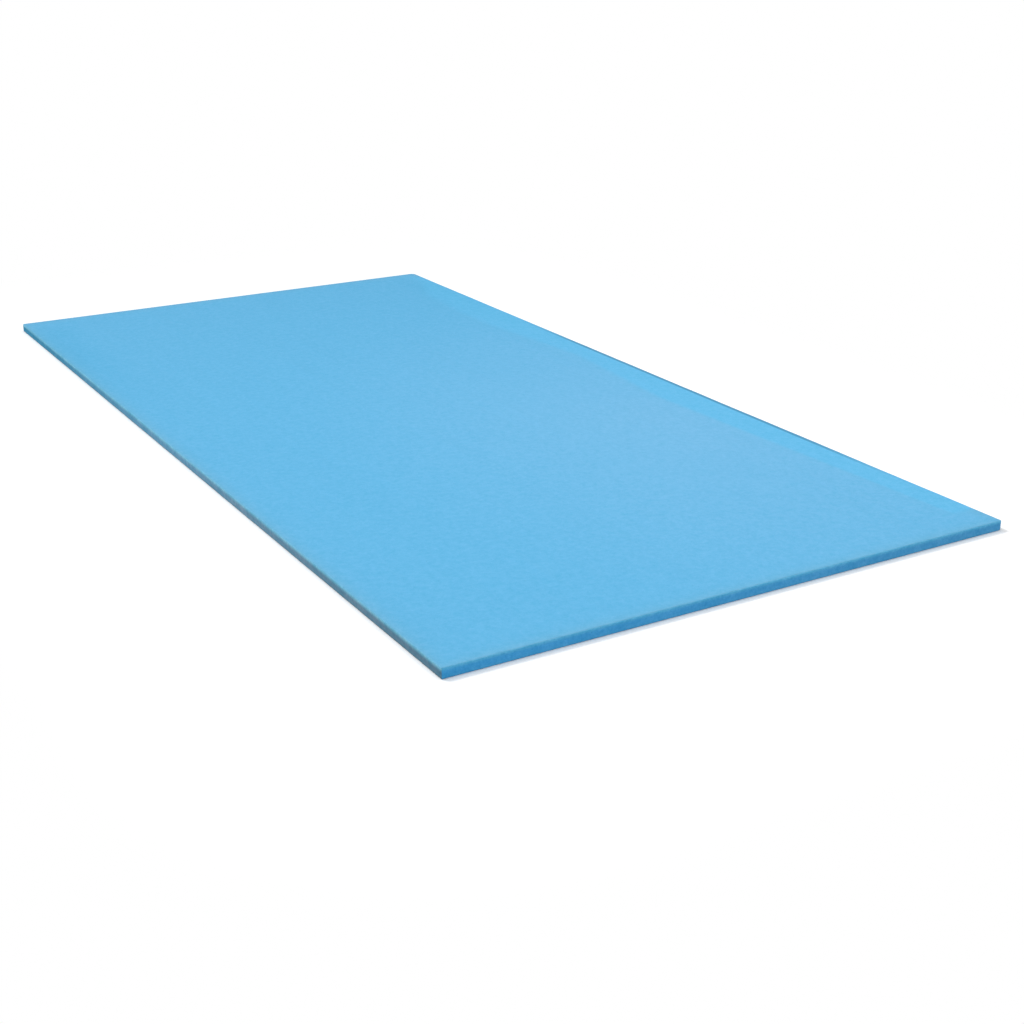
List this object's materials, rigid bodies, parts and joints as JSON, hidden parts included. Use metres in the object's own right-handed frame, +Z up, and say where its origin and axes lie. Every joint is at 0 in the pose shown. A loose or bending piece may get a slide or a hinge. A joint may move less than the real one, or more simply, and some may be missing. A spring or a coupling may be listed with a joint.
{
  "type": "extruded polystyrene insulation board",
  "caption": "Flat rectangular sheet of rigid blue closed-cell foam with smooth faces, square butt edges and lightly softened arrises.",
  "frame": {"origin": "middle of the underside, midway between the edges", "axes": "+X across the width, +Y along the length, +Z up through the thickness"},
  "size_m": [0.6, 1.2, 0.01],
  "materials": {
    "foam": "matte"
  },
  "bodies": {
    "root": {"board": "foam"}
  },
  "joints": []
}
